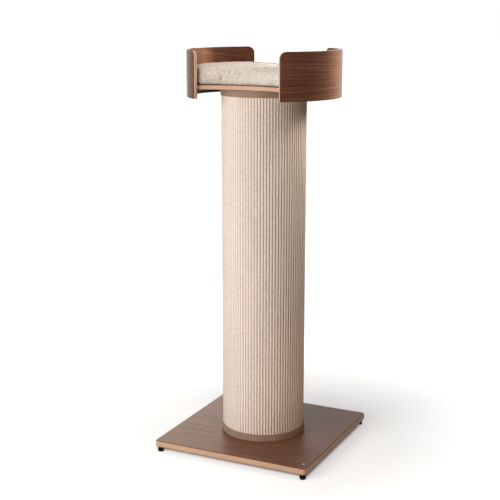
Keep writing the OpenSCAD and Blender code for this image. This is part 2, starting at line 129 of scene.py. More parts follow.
# Painted light and shade on the walls' veneer (place along the grain, how much lighter or darker it is
# painted): a painted highlight towards the right wall's right end, a lit patch on the left wall's inner face,
# and darker places between
RIGHT_PAINTED_LIGHT = ((2.78, 0.9), (2.87, 0.66), (2.92, 0.85), (3.0, 1.55), (3.2, 1.2))
LEFT_PAINTED_LIGHT = ((-3.2, 0.7), (-3.08, 0.85), (-2.97, 1.7), (-2.92, 0.95), (-2.8, 0.8))
LEFT_FLAME = (-3.02, 0.092)
# Painted shade on the walls' inner faces below the perch's floor: its height, darkness and fade
SKIRT = platform_low.z - wall_low.z
SKIRT_SHADE = 0.2
SKIRT_FADE = 0.003
PLATFORM = 0.2184
PLATFORM_CORNER = HALF_ENTRY + 0.009 / WALL_MIDDLE
WAIST = 0.144
COUNTERSINK = (0.0103, 0.00224)
PLATFORM_EDGE = 0.0008
PLATFORM_BORDER = 0.0007
PLATFORM_GRAIN_START = (1.37, 0.51)

# The arc of the perch floor's concave front and back
waist_half = PLATFORM * math.sin(PLATFORM_CORNER)
waist_rise = PLATFORM * math.cos(PLATFORM_CORNER) - WAIST
WAIST_ARC = (waist_half ** 2 + waist_rise ** 2) / (2 * waist_rise)
WAIST_CENTRE = WAIST + WAIST_ARC

# Cushion. A ring is (inset from the outline, height above the perch's floor).
CUSHION_GAP = 0.0006
CUSHION_SETBACK = 0.002
CUSHION_BLEND = 60
CUSHION_COLUMNS = 160
CUSHION_MIDDLE = 0.048
CUSHION_RINGS = (
    (0.034, 0.0), (0.010, 0.0), (0.0055, 0.001), (0.0030, 0.004), (0.0020, 0.010),
    (0.0018, 0.020), (0.0018, 0.034), (0.0026, 0.0400), (0.0052, 0.0440), (0.011, 0.0462),
    (0.030, 0.0472), (0.080, 0.0477), (0.120, 0.0479),
)
CLOTH_VOXEL = 0.004
CLOTH_PRESSURE = 3.0
CLOTH_QUALITY = 5
CLOTH_FRAMES = 20
CLOTH_REACH = 0.006
LOOPS_PER_METRE = 145
LOOP_RELIEF = 0.0009
CLUMPS_PER_METRE = 75
CLUMP_RELIEF = 0.0007
RESTING = 0.001

# Pitches in the materials: one ply, one turn of the yarn, and the binding's ridges and threads
PLY = 0.00145
YARN_PITCH = 0.0034
TWILL_PITCH = 0.0016
TWILL_THREAD = 0.0009

# Camera
CAMERA_PLACE = (1.3651, -2.9239, 1.3243)
CAMERA_AHEAD = (-0.42441, 0.87903, -0.21723)
CAMERA_LENS = 78.11
CAMERA_SENSOR = 36

# Floor. Its own white comes up between near and far. Below the base it has painted shade, a darker grey
# without its own white, up to the first distance from the middle and clear from the second, to the sides
# and to the front and back.
FLOOR_REACH = 40
FLOOR_NEAR = 0.4
FLOOR_FAR = 1.0
FLOOR_GLOW = 0.52
FLOOR_GREY = 0.86
UNDER_SIDE = (0.234, 0.246)
UNDER_FRONT = (0.206, 0.231)
UNDER_PAINTED_SHADE_GREY = 0.16

# Light
STUDIO_BACK = (-0.434, 0.901, 0)
STUDIO_FRONT = 0.1
STUDIO_FILL = 0.05
WARM = (1.0, 0.88, 0.76)
AMBER = (1.0, 0.66, 0.4)
COOL = (0.94, 0.975, 1.0)
MIDDLE = (0, 0, 0.62)


def srgb(red, green, blue):
    """The linear colour of an sRGB colour given as 0 to 255."""
    def linear(value):
        value /= 255
        return value / 12.92 if value <= 0.04045 else ((value + 0.055) / 1.055) ** 2.4
    return (linear(red), linear(green), linear(blue), 1)


class Nodes:
    """A node tree. Each call adds a node and returns its output."""

    def __init__(self, tree):
        self.tree = tree

    def node(self, kind, inputs, **settings):
        made = self.tree.nodes.new(kind)
        for key, value in settings.items():
            setattr(made, key, value)
        for key, value in inputs.items():
            self.put(made.inputs[key], value)
        return made

    def put(self, socket, value):
        if isinstance(value, bpy.types.NodeSocket):
            self.tree.links.new(value, socket)
        else:
            socket.default_value = value

    def place(self, attribute):
        return self.node("ShaderNodeAttribute", {}, attribute_name=attribute).outputs["Vector"]

    def split(self, vector):
        return self.node("ShaderNodeSeparateXYZ", {0: vector}).outputs

    def join(self, x, y, z):
        return self.node("ShaderNodeCombineXYZ", {0: x, 1: y, 2: z}).outputs[0]

    def scaled(self, vector, x, y, z):
        return self.node("ShaderNodeMapping", {"Vector": vector, "Scale": (x, y, z)}).outputs[0]

    def math(self, operation, a, b=0.0, c=0.0):
        return self.node("ShaderNodeMath", {0: a, 1: b, 2: c}, operation=operation).outputs[0]

    def noise(self, vector, detail=2.0, roughness=0.5):
        inputs = {"Vector": vector, "Scale": 1.0, "Detail": detail, "Roughness": roughness}
        return self.node("ShaderNodeTexNoise", inputs).outputs["Fac"]

    def cells(self, vector):
        """The distance to the nearest of many scattered points."""
        return self.node("ShaderNodeTexVoronoi", {"Vector": vector, "Scale": 1.0}).outputs["Distance"]

    def span(self, value, low, high, to_low=0.0, to_high=1.0):
        inputs = {0: value, 1: low, 2: high, 3: to_low, 4: to_high}
        return self.node("ShaderNodeMapRange", inputs).outputs[0]

    def vary(self, value, low, high):
        """Noise, which mostly stays between 0.3 and 0.7, spread over low to high."""
        return self.span(value, 0.3, 0.7, low, high)

    def ramp(self, value, *stops):
        made = self.node("ShaderNodeValToRGB", {0: value})
        elements = made.color_ramp.elements
        while len(elements) < len(stops):
            elements.new(0.5)
        for element, (position, colour) in zip(elements, stops):
            element.position = position
            element.color = colour
        return made.outputs[0]

    def mix(self, factor, a, b, blend="MIX"):
        return self.node("ShaderNodeMixRGB", {0: factor, 1: a, 2: b}, blend_type=blend).outputs[0]

    def times(self, colour, value):
        """A colour made lighter or darker by a value."""
        return self.mix(1.0, colour, self.join(value, value, value), "MULTIPLY")

    def tone(self, place, stops):
        """A value from 0 to 2 that runs through the stops, each (place, value)."""
        low, high = stops[0][0], stops[-1][0]
        greys = [((at - low) / (high - low), (value / 2, value / 2, value / 2, 1)) for at, value in stops]
        return self.math("MULTIPLY", self.ramp(self.span(place, low, high), *greys), 2.0)

    def bump(self, height, distance, strength):
        inputs = {"Height": height, "Distance": distance, "Strength": strength}
        return self.node("ShaderNodeBump", inputs).outputs[0]

    def grazing(self, start, full):
        """0 where a surface faces the eye, rising to 1 at grazing sight."""
        facing = self.node("ShaderNodeLayerWeight", {"Blend": 0.5}).outputs["Facing"]
        return self.span(facing, start, full)

    def seen_directly(self):
        """1 for rays that show the background in the picture, in metal or through glass, else 0."""
        path = self.node("ShaderNodeLightPath", {}).outputs
        seen = self.math("MAXIMUM", path["Is Camera Ray"], path["Is Glossy Ray"])
        return self.math("MAXIMUM", seen, path["Is Transmission Ray"])


class Look(Nodes):
    """One material."""

    def __init__(self, name):
        self.material = bpy.data.materials.new(name)
        self.material.use_nodes = True
        super().__init__(self.material.node_tree)
        self.bsdf = self.tree.nodes["Principled BSDF"]

    def finish(self, **inputs):
        for key, value in inputs.items():
            self.put(self.bsdf.inputs[key.replace("_", " ")], value)
        return self.material


# Materials. Wood reads the attribute grain: metres along, across and through the grain.

def walnut(name, cathedral=None, seed=0.0, painted_light=((0.0, 1.0), (1.0, 1.0)), gloss=0.25, skirt=None):
    """Walnut veneer under satin lacquer, straight grained or with a flame at (along, across).

    Painted light is stops at places along the grain, each how much lighter or darker the wood is painted
    there for light and shade; above 1 it also pales towards a painted sheen. Below the height skirt the
    inner face gets painted shade.
    """
    look = Look(name)
    grain = look.place("grain")
    along, across, through = look.split(grain)
    slow = look.noise(look.scaled(grain, 1.7, 7, 7), 2)
    quick = look.noise(look.scaled(grain, 7, 42, 42), 3)
    wander = look.math("MULTIPLY_ADD", look.math("SUBTRACT", slow, 0.5), 0.05, across)
    wander = look.math("MULTIPLY_ADD", look.math("SUBTRACT", quick, 0.5), 0.007, wander)
    if cathedral:
        from_tip = look.math("SUBTRACT", along, cathedral[0])
        from_heart = look.math("SUBTRACT", wander, cathedral[1])
        arch = look.math("MULTIPLY", look.math("MULTIPLY", from_heart, from_heart), 1500)
        rings = look.math("MULTIPLY_ADD", from_tip, 9, arch)
    else:
        rings = look.math("MULTIPLY", wander, 210)
    growth = look.noise(look.join(rings, look.math("MULTIPLY", along, 3.5), seed), 4, 0.6)
    wood = look.ramp(
        growth,
        (0.20, srgb(70, 42, 29)),
        (0.38, srgb(92, 57, 41)),
        (0.53, srgb(109, 69, 50)),
        (0.68, srgb(127, 83, 61)),
        (0.86, srgb(153, 106, 80)),
    )
    streak = look.noise(look.scaled(grain, 9, 380, 380), 3, 0.6)
    wood = look.times(wood, look.vary(streak, 0.76, 1.22))
    sheen = look.noise(look.scaled(grain, 4, 15, 15), 2)
    wood = look.times(wood, look.vary(sheen, 0.88, 1.12))
    # Painted light and shade along the grain; above 1 a pale painted sheen is mixed in
    light = look.tone(along, painted_light)
    wood = look.times(wood, light)
    painted_sheen = look.times(srgb(190, 152, 126), look.vary(streak, 0.45, 1.35))
    wood = look.mix(look.span(light, 1.0, 2.0, 0.0, 0.5), wood, painted_sheen)
    fibre = look.noise(look.scaled(grain, 16, 1300, 1300), 3, 0.6)
    wood = look.times(wood, look.vary(fibre, 0.86, 1.12))
    pores = look.noise(look.scaled(grain, 110, 2500, 2500), 1)
    pores = look.span(pores, 0.60, 0.70)
    wood = look.mix(look.math("MULTIPLY", pores, 0.45), wood, srgb(40, 22, 15))
    # Painted shade on the inner face below the perch's floor
    if skirt:
        below = look.span(across, skirt - SKIRT_FADE, skirt, SKIRT_SHADE, 1.0)
        wood = look.times(wood, look.math("MAXIMUM", below, look.span(through, 0.001, 0.003)))
    height = look.math("SUBTRACT", look.math("MULTIPLY", fibre, 0.35), pores)
    return look.finish(
        Base_Color=wood,
        Roughness=look.vary(fibre, 0.36, 0.46),
        Specular_IOR_Level=0.12,
        Coat_Weight=look.math("MULTIPLY", look.grazing(0.5, 0.8), gloss),
        Coat_Roughness=0.3,
        Normal=look.bump(height, 0.00012, 0.6),
    )


def ply_edge(name):
    """The sanded and lacquered edge of plywood, its plies lying across the grain's third axis."""
    look = Look(name)
    grain = look.place("grain")
    through = look.split(grain)[2]
    wobble = look.noise(look.scaled(grain, 9, 9, 60), 2)
    layer = look.math("MULTIPLY_ADD", wobble, 0.0005, through)
    layer = look.math("DIVIDE", look.math("PINGPONG", layer, PLY), PLY)
    streak = look.noise(look.scaled(grain, 55, 55, 900), 3, 0.6)
    long_ply = look.mix(streak, srgb(211, 177, 151), srgb(197, 160, 133))
    cross_ply = look.mix(streak, srgb(194, 155, 129), srgb(171, 132, 106))
    wood = look.mix(look.span(layer, 0.42, 0.62), long_ply, cross_ply)
    patch = look.noise(look.scaled(grain, 12, 12, 30), 2)
    wood = look.times(wood, look.vary(patch, 0.92, 1.05))
    pores = look.span(look.noise(look.scaled(grain, 420, 420, 1500), 1), 0.66, 0.74)
    wood = look.mix(look.math("MULTIPLY", pores, 0.35), wood, srgb(146, 104, 78))
    return look.finish(
        Base_Color=wood,
        Roughness=0.5,
        Specular_IOR_Level=0.2,
        Normal=look.bump(look.math("SUBTRACT", look.math("MULTIPLY", streak, 0.4), pores), 0.0001, 0.5),
    )


def sisal(name):
    """Ribs of sisal yarn. The attribute weave holds metres round the column, height and rib phase."""
    look = Look(name)
    weave = look.place("weave")
    around, height, phase = look.split(weave)
    rib = look.math("FLOOR", look.math("DIVIDE", around, 2 * math.pi * COLUMN / RIBS))
    shift = look.math("MULTIPLY", look.math("FLOORED_MODULO", rib, 2), 0.5)
    drift = look.noise(look.scaled(weave, 40, 25, 0), 2)
    turn = look.math("ADD", look.math("DIVIDE", height, YARN_PITCH), shift)
    turn = look.math("ADD", turn, look.math("MULTIPLY", drift, 2.2))
    yarn = look.math("ABSOLUTE", look.math("SINE", look.math("MULTIPLY", turn, math.pi)))
    which = look.join(rib, look.math("FLOOR", turn), 0.0)
    own = look.node("ShaderNodeTexWhiteNoise", {"Vector": which}, noise_dimensions="2D").outputs[0]
    hair = look.noise(look.scaled(weave, 700, 2600, 0), 3, 0.65)
    crest = look.math("SUBTRACT", 1.0, look.math("ABSOLUTE", phase))
    # Painted shade in the grooves between the ribs: the colour darkens and browns from crest to groove
    colour = look.ramp(
        crest,
        (0.0, srgb(130, 92, 66)),
        (0.22, srgb(186, 154, 129)),
        (0.5, srgb(231, 216, 204)),
        (1.0, srgb(243, 232, 224)),
    )
    colour = look.times(colour, look.span(own, 0.0, 1.0, 0.93, 1.04))
    # Painted shade between the yarn's turns
    colour = look.times(colour, look.span(yarn, 0.0, 0.5, 0.82, 1.0))
    colour = look.times(colour, look.vary(hair, 0.9, 1.06))
    slow = look.noise(look.scaled(weave, 9, 4, 0), 2)
    colour = look.times(colour, look.vary(slow, 0.97, 1.03))
    relief = look.math("MULTIPLY_ADD", hair, 0.3, look.math("POWER", yarn, 0.6))
    return look.finish(
        Base_Color=colour,
        Roughness=0.88,
        Sheen_Weight=0.15,
        Sheen_Roughness=0.5,
        Normal=look.bump(relief, 0.0005, 0.9),
    )


def twill(name):
    """Woven tape: fine diagonal ridges over the attribute weave."""
    look = Look(name)
    weave = look.place("weave")
    around, height = look.split(weave)[:2]
    slope = look.math("DIVIDE", around, TWILL_PITCH)
    slope = look.math("ADD", slope, look.math("DIVIDE", height, TWILL_PITCH))
    ridge = look.math("ABSOLUTE", look.math("SINE", look.math("MULTIPLY", slope, math.pi)))
    thread = look.math("ABSOLUTE", look.math("SINE", look.math("DIVIDE", around, TWILL_THREAD / math.pi)))
    hair = look.noise(look.scaled(weave, 900, 900, 0), 3, 0.6)
    patch = look.noise(look.scaled(weave, 30, 60, 0), 2)
    colour = look.mix(ridge, srgb(118, 93, 74), srgb(164, 136, 115))
    colour = look.times(colour, look.span(thread, 0.0, 1.0, 0.92, 1.03))
    colour = look.times(colour, look.vary(hair, 0.9, 1.08))
    colour = look.times(colour, look.vary(patch, 0.95, 1.05))
    relief = look.math("MULTIPLY_ADD", thread, 0.4, ridge)
    return look.finish(
        Base_Color=colour,
        Roughness=0.85,
        Sheen_Weight=0.2,
        Sheen_Roughness=0.4,
        Normal=look.bump(relief, 0.00025, 0.8),
    )


def boucle(name):
    """Looped wool: knots of yarn with painted shade in the gaps, over the looped relief of the mesh."""
    look = Look(name)
    spot = look.node("ShaderNodeTexCoord", {}).outputs["Object"]
    bent = look.noise(look.scaled(spot, 160, 160, 160), 2)
    curled = look.mix(0.35, look.scaled(spot, 330, 330, 330), look.join(bent, bent, bent), "ADD")
    loops = look.cells(curled)
    fine = look.noise(look.scaled(spot, 1500, 1500, 1500), 3, 0.65)
    large = look.noise(look.scaled(spot, 60, 60, 60), 3, 0.6)
    # Painted shade in the gaps between the knots of yarn
    colour = look.ramp(
        loops,
        (0.05, srgb(222, 213, 206)),
        (0.5, srgb(212, 202, 194)),
        (0.85, srgb(181, 167, 156)),
    )
    colour = look.times(colour, look.vary(large, 0.92, 1.05))
    colour = look.times(colour, look.vary(fine, 0.93, 1.05))
    relief = look.math("MULTIPLY_ADD", fine, 0.35, look.math("SUBTRACT", 1.0, loops))
    return look.finish(
        Base_Color=colour,
        Roughness=0.95,
        Sheen_Weight=0.35,
        Sheen_Roughness=0.45,
        Normal=look.bump(relief, 0.0006, 0.8),
    )


def moulded(name, colour, roughness):
    """Dull black plastic or powder coat with a fine texture."""
    look = Look(name)
    spot = look.node("ShaderNodeTexCoord", {}).outputs["Object"]
    grit = look.noise(look.scaled(spot, 2200, 2200, 2200), 2)
    worn = look.noise(look.scaled(spot, 180, 180, 180), 3)
    shade = look.times(colour, look.vary(worn, 0.85, 1.25))
    return look.finish(
        Base_Color=shade,
        Roughness=look.vary(worn, roughness - 0.06, roughness + 0.08),
        Specular_IOR_Level=0.12,
        Normal=look.bump(grit, 0.00008, 0.5),
    )


def metal(name, colour, roughness):
    """Steel or brass with fine machining marks."""
    look = Look(name)
    spot = look.node("ShaderNodeTexCoord", {}).outputs["Object"]
    marks = look.noise(look.scaled(spot, 900, 900, 3600), 3, 0.6)
    stain = look.noise(look.scaled(spot, 120, 120, 120), 3)
    shade = look.times(colour, look.vary(stain, 0.9, 1.05))
    return look.finish(
        Base_Color=shade,
        Metallic=1.0,
        Roughness=look.vary(marks, roughness - 0.06, roughness + 0.08),
        Normal=look.bump(marks, 0.00004, 0.5),
    )


def paperboard(name):
    """Wound paperboard: fibres over patches of a lighter and darker brown."""
    look = Look(name)
    spot = look.node("ShaderNodeTexCoord", {}).outputs["Object"]
    fibre = look.noise(look.scaled(spot, 900, 900, 300), 3, 0.6)
    patch = look.noise(look.scaled(spot, 25, 25, 25), 3)
    colour = look.mix(patch, srgb(182, 148, 106), srgb(160, 126, 88))
    colour = look.times(colour, look.vary(fibre, 0.92, 1.05))
    return look.finish(Base_Color=colour, Roughness=0.9, Normal=look.bump(fibre, 0.0001, 0.5))


def foam(name):
    """Open cell foam."""
    look = Look(name)
    spot = look.node("ShaderNodeTexCoord", {}).outputs["Object"]
    holes = look.cells(look.scaled(spot, 900, 900, 900))
    colour = look.ramp(holes, (0.1, srgb(214, 203, 160)), (0.7, srgb(240, 234, 205)))
    return look.finish(Base_Color=colour, Roughness=0.95, Normal=look.bump(holes, 0.0003, 0.6))


# Meshes

def add_piece(name, points, faces, body, looks, face_looks=None):
    """A visible piece that rides on a body. face_looks gives each face its place in looks."""
    mesh = bpy.data.meshes.new(name)
    mesh.from_pydata([tuple(p) for p in points], [], [tuple(f) for f in faces])
    piece = bpy.data.objects.new(name, mesh)
    bpy.context.collection.objects.link(piece)
    for look in looks:
        mesh.materials.append(look)
    if face_looks is not None:
        mesh.polygons.foreach_set("material_index", face_looks)
    smooth_faces(piece)
    mesh.update()
    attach(piece, body)
    return piece


def points_of(mesh):
    """The points of a mesh as rows of an array."""
    flat = np.empty(len(mesh.vertices) * 3)
    mesh.vertices.foreach_get("co", flat)
    return flat.reshape(-1, 3)


def move_points(mesh, points):
    mesh.vertices.foreach_set("co", np.asarray(points, dtype=float).ravel())
    mesh.update()


def set_attribute(piece, name, values):
    made = piece.data.attributes.new(name, "FLOAT_VECTOR", "POINT")
    made.data.foreach_set("vector", np.asarray(values, dtype=float).ravel())


def grid_faces(rows, columns, close_rows=False):
    """Quads over rows of points whose columns run round and close."""
    faces = []
    for row in range(rows if close_rows else rows - 1):
        below = row * columns
        above = (row + 1) % rows * columns
        for column in range(columns):
            after = (column + 1) % columns
            faces.append((below + column, below + after, above + after, above + column))
    return faces


def cylinder_points(x, y, low, high, radius, sides=48):
    """The lower ring of an upright cylinder, then its upper ring."""
    turn = [2 * math.pi * i / sides for i in range(sides)]
    return [(x + radius * math.cos(a), y + radius * math.sin(a), z) for z in (low, high) for a in turn]


def apply_modifiers(piece):
    """Makes what the modifiers do part of the piece's own mesh."""
    bpy.context.view_layer.update()
    made = bpy.data.meshes.new_from_object(piece.evaluated_get(bpy.context.evaluated_depsgraph_get()))
    piece.modifiers.clear()
    old = piece.data
    piece.data = made
    bpy.data.meshes.remove(old)


def cut_away(piece, points, faces):
    """Takes closed solids away from a piece."""
    mesh = bpy.data.meshes.new("cutter")
    mesh.from_pydata([tuple(p) for p in points], [], faces)
    tool = bpy.data.objects.new("cutter", mesh)
    bpy.context.collection.objects.link(tool)
    cut = piece.modifiers.new("cut", "BOOLEAN")
    cut.object = tool
    cut.operation = "DIFFERENCE"
    cut.solver = "EXACT"
    apply_modifiers(piece)
    bpy.data.objects.remove(tool)


def bolt_cutters(low, high, radius):
    """The four bolts' places as upright cylinders for carve."""
    cutters = []
    for quarter_turn in range(4):
        turn = math.radians(45 + 90 * quarter_turn)
        cutters.append((BOLT_PLACE * math.cos(turn), BOLT_PLACE * math.sin(turn), low, high, radius))
    return cutters


def carve(piece, cutters):
    """Cuts upright cylinders (x, y, low, high, radius) out of a piece."""
    points = []
    faces = []
    for cutter in cutters:
        ring = cylinder_points(*cutter)
        start = len(points)
        sides = len(ring) // 2
        points += ring
        faces.append([start + i for i in reversed(range(sides))])
        faces.append([start + sides + i for i in range(sides)])
        for i in range(sides):
            j = (i + 1) % sides
            faces.append((start + i, start + j, start + sides + j, start + sides + i))
    cut_away(piece, points, faces)


def smooth_faces(piece):
    piece.data.polygons.foreach_set("use_smooth", [True] * len(piece.data.polygons))


def smooth_by_angle(piece, degrees):
    """Smooth faces with the edges sharper than an angle kept."""
    smooth_faces(piece)
    piece.data.set_sharp_from_angle(angle=math.radians(degrees))


def rounded_prism(outline, low, high, rings):
    """Points and faces of an upright board. Each ring is (inset, rise) and insets move along normals."""
    outline = np.array(outline)
    tangent = np.roll(outline, -1, axis=0) - np.roll(outline, 1, axis=0)
    tangent /= np.linalg.norm(tangent, axis=1)[:, None]
    inward = np.stack([-tangent[:, 1], tangent[:, 0]], axis=1)
    count = len(outline)
    levels = [(inset, low + rise) for inset, rise in rings]
    levels += [(inset, high - rise) for inset, rise in reversed(rings)]
    points = []
    for inset, z in levels:
        ring = outline + inward * inset
        points += [(x, y, z) for x, y in ring]
    faces = grid_faces(len(levels), count)
    faces.append([i for i in reversed(range(count))])
    faces.append([(len(levels) - 1) * count + i for i in range(count)])
    return points, faces


def quarter(radius, steps):
    """Rings of a rounded edge, from the flat face to the side."""
    turns = [math.pi / 2 * i / steps for i in range(steps + 1)]
    return [(radius * (1 - math.sin(a)), radius * (1 - math.cos(a))) for a in turns]


def banded_faces(mesh, low, high, upper=VENEER, lower=VENEER):
    """Material 0 on the veneers of a board and material 1 on its edge between them."""
    for face in mesh.polygons:
        flat = face.center.z > high - upper or face.center.z < low + lower
        face.material_index = 0 if flat else 1


def make_base():
    """The base board, with its foot pockets and bolt recesses open below."""
    outline = []
    for sx, sy in ((1, -1), (1, 1), (-1, 1), (-1, -1)):
        cx = sx * (base_high.x - BASE_CORNER)
        cy = sy * (base_high.y - BASE_CORNER)
        start = math.atan2(sy, sx) - math.pi / 4
        for step in range(BASE_CORNER_STEPS + 1):
            turn = start + math.pi / 2 * step / BASE_CORNER_STEPS
            outline.append((cx + BASE_CORNER * math.cos(turn), cy + BASE_CORNER * math.sin(turn)))
    rings = [(BASE_EDGE + BASE_BORDER, 0)] + quarter(BASE_EDGE, 8)
    points, faces = rounded_prism(outline, base_low.z, base_high.z, rings)
    board = add_piece("base_board", points, faces, "tower", [base_veneer, base_edge])
    foot = base_high.x - FOOT_INSET
    below = base_low.z - CUT_PAST
    pocket_radius, pocket_depth = FOOT_POCKET
    recess_radius, recess_depth = HEAD_RECESS
    holes = [(sx * foot, sy * foot, below, base_low.z + pocket_depth, pocket_radius)
             for sx in (-1, 1) for sy in (-1, 1)]
    holes += bolt_cutters(below, base_low.z + recess_depth, recess_radius)
    carve(board, holes)
    banded_faces(board.data, base_low.z, base_high.z, *BASE_VENEERS_AND_PAINTED_SHADE)
    smooth_by_angle(board, BOARD_SHARP)
    points = points_of(board.data)
    set_attribute(board, "grain", points + np.array([*BASE_GRAIN_START, -base_low.z]))
    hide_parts("base_plate")


def platform_outline(steps=64):
    """The perch's floor: two arcs of the perch joined by the concave front and back."""
    corner = PLATFORM_CORNER
    sweep = math.asin(waist_half / WAIST_ARC)
    points = []
    for side in (1, -1):
        for i in range(steps + 1):
            turn = -math.pi / 2 + corner + (math.pi - 2 * corner) * i / steps
            points.append((side * PLATFORM * math.cos(turn), side * PLATFORM * math.sin(turn)))
        for i in range(1, steps):
            turn = sweep - 2 * sweep * i / steps
            x = WAIST_ARC * math.sin(turn)
            y = WAIST_CENTRE - WAIST_ARC * math.cos(turn)
            points.append((side * x, side * y))
    return points


def make_platform():
    """The perch's floor, with the bolts' countersinks."""
    rings = [(PLATFORM_EDGE + PLATFORM_BORDER, 0)] + quarter(PLATFORM_EDGE, 3)
    points, faces = rounded_prism(platform_outline(), platform_low.z, platform_high.z, rings)
    board = add_piece("perch_floor", points, faces, "tower", [floor_veneer, floor_edge])
    radius, depth = COUNTERSINK
    carve(board, bolt_cutters(platform_high.z - depth, platform_high.z + CUT_PAST, radius))
    banded_faces(board.data, platform_low.z, platform_high.z)
    smooth_by_angle(board, BOARD_SHARP)
    points = points_of(board.data)
    set_attribute(board, "grain", points + np.array([*PLATFORM_GRAIN_START, -platform_low.z]))
    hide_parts("platform")


def edge_angle(rounding, share):
    """The place on a rounded edge, from the face at 0 over the veneer's end at 1 to the middle at 2."""
    bare = math.asin(1 - VENEER / rounding)
    return math.pi / 2 + (bare - math.pi / 2) * share if share < 1 else bare * (2 - share)


def wall_ring(face, share, columns=96, corner_steps=16):
    """One ring round a flat wall: (along, up, out) points of its top edge, then its bottom edge backwards."""
    height = wall_high.z - wall_low.z
    reach = WALL_HALF_LENGTH - WALL_TOP_CORNER

    def place(turn):
        rounding = WALL_RIM_ROUND + (WALL_END_ROUND - WALL_RIM_ROUND) * turn / (math.pi / 2)
        if share < 0:
            return rounding + WALL_BORDER, face * WALL / 2
        angle = edge_angle(rounding, share)
        return rounding * (1 - math.cos(angle)), face * (WALL / 2 - rounding * (1 - math.sin(angle)))

    def corner(side, radius, top):
        points = []
        for step in range(corner_steps + 1):
            run = 1.0 if top else min(2 * step / corner_steps, 1)
            turn = math.pi / 2 * (step / corner_steps if top else max(2 * step / corner_steps - 1, 0))
            inset, out = place(turn)
            start = WALL_HALF_LENGTH - radius - (1 - run) * (WALL_TOP_CORNER - radius)
            x = side * (start + (radius - inset) * math.sin(turn))
            y = radius - (radius - inset) * math.cos(turn)
            points.append((x, height - y if top else y, out))
        return points

    inset, out = place(0)
    straight = [reach * (2 * i / columns - 1) for i in range(1, columns)]
    top = corner(-1, WALL_TOP_CORNER, True)[::-1]
    top += [(x, height - inset, out) for x in straight]
    top += corner(1, WALL_TOP_CORNER, True)
    bottom = corner(-1, WALL_LOW_CORNER, False)[::-1]
    bottom += [(x, inset, out) for x in straight]
    bottom += corner(1, WALL_LOW_CORNER, False)
    return top + bottom[::-1]


def make_wall(name, node, turned, veneer_look):
    """A bent wall with veneer on both faces and the bare plies on its rounded edge."""
    section = [(-1, share) for share in WALL_SHARES] + [(1, share) for share in reversed(WALL_SHARES)]
    flat = []
    points = []
    for face, share in section:
        ring = wall_ring(face, share)
        for along, up, out in ring:
            turn = along / WALL_MIDDLE + WALL_TURN
            radius = WALL_MIDDLE + out
            points.append((turned * radius * math.cos(turn), radius * math.sin(turn), wall_low.z + up))
            flat.append((along + WALL_GRAIN_START * turned, up, out + WALL / 2))
    count = len(ring)
    faces = grid_faces(len(section), count)
    bare = WALL_SHARES.index(1)
    looks = []
    for band in range(len(section) - 1):
        looks += [1 if bare <= band < len(section) - 1 - bare else 0] * count
    last = (len(section) - 1) * count
    for i in range(count // 2 - 1):
        low = count - 1 - i
        faces.append((i, i + 1, low - 1, low))
        faces.append((last + i, last + low, last + low - 1, last + i + 1))
        looks += [0, 0]
    wall = add_piece(name, points, faces, "tower", [veneer_look, wall_edge], looks)
    bm = bmesh.new()
    bm.from_mesh(wall.data)
    bmesh.ops.recalc_face_normals(bm, faces=bm.faces)
    bm.to_mesh(wall.data)
    bm.free()
    smooth_by_angle(wall, BOARD_SHARP)
    set_attribute(wall, "grain", flat)
    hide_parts(node)


def make_sleeve():
    """The upright ribs of sisal, which sway and sink a little and carry small knobs."""
    columns = RIBS * RIB_POINTS
    rows = SLEEVE_ROWS
    index = np.arange(columns)
    phase = (index % RIB_POINTS) / RIB_POINTS * 2 - 1
    crest = np.sqrt(1 - np.abs(phase) ** RIB_FULLNESS)
    heights = np.linspace(sleeve_low.z, sleeve_high.z, rows)
    rng = np.random.default_rng(SLEEVE_SEED)
    wave = np.zeros((rows, RIBS))
    for bends in RIB_BENDS:
        shift = rng.uniform(0, 2 * math.pi, RIBS)
        size = rng.normal(0, 1, RIBS) / bends ** 0.5
        wave += size * np.sin(np.linspace(0, bends * math.pi, rows)[:, None] + shift)
    wave = np.repeat(wave, RIB_POINTS, axis=1)
    fade = np.clip(np.minimum(heights - sleeve_low.z, sleeve_high.z - heights) / SWAY_FADE, 0, 1)[:, None]
    knobs = rng.normal(0, 1, (rows, columns)) * RIB_KNOBS * crest
    radius = COLUMN - RIB_CLEAR - RIB_DEPTH * (1 - crest) + knobs
    radius = radius - RIB_SINK * np.abs(wave) * fade
    angle = index / columns * 2 * math.pi + wave * fade * RIB_SWAY / COLUMN
    outer = np.stack([radius * np.cos(angle), radius * np.sin(angle), heights[:, None] + 0 * radius], axis=-1)
    inner_angle = index / columns * 2 * math.pi
    inner_x = SLEEVE_INNER * np.cos(inner_angle)
    inner_y = SLEEVE_INNER * np.sin(inner_angle)
    inner = [np.stack([inner_x, inner_y, 0 * inner_x + z], axis=-1) for z in (sleeve_high.z, sleeve_low.z)]
    points = np.concatenate([outer.reshape(-1, 3), *inner])
    faces = grid_faces(rows + 2, columns, close_rows=True)
    sleeve = add_piece("sisal_ribs", points, faces, "tower", [sisal_look])
    around = np.broadcast_to((index + 0.5) / columns * 2 * math.pi * COLUMN, (rows + 2, columns))
    levels = np.concatenate([heights, [sleeve_high.z, sleeve_low.z]])
    levels = np.broadcast_to(levels[:, None], (rows + 2, columns))
    phases = np.broadcast_to(phase, (rows + 2, columns))
    set_attribute(sleeve, "weave", np.stack([around, levels, phases], axis=-1))
    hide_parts("sisal_sleeve")


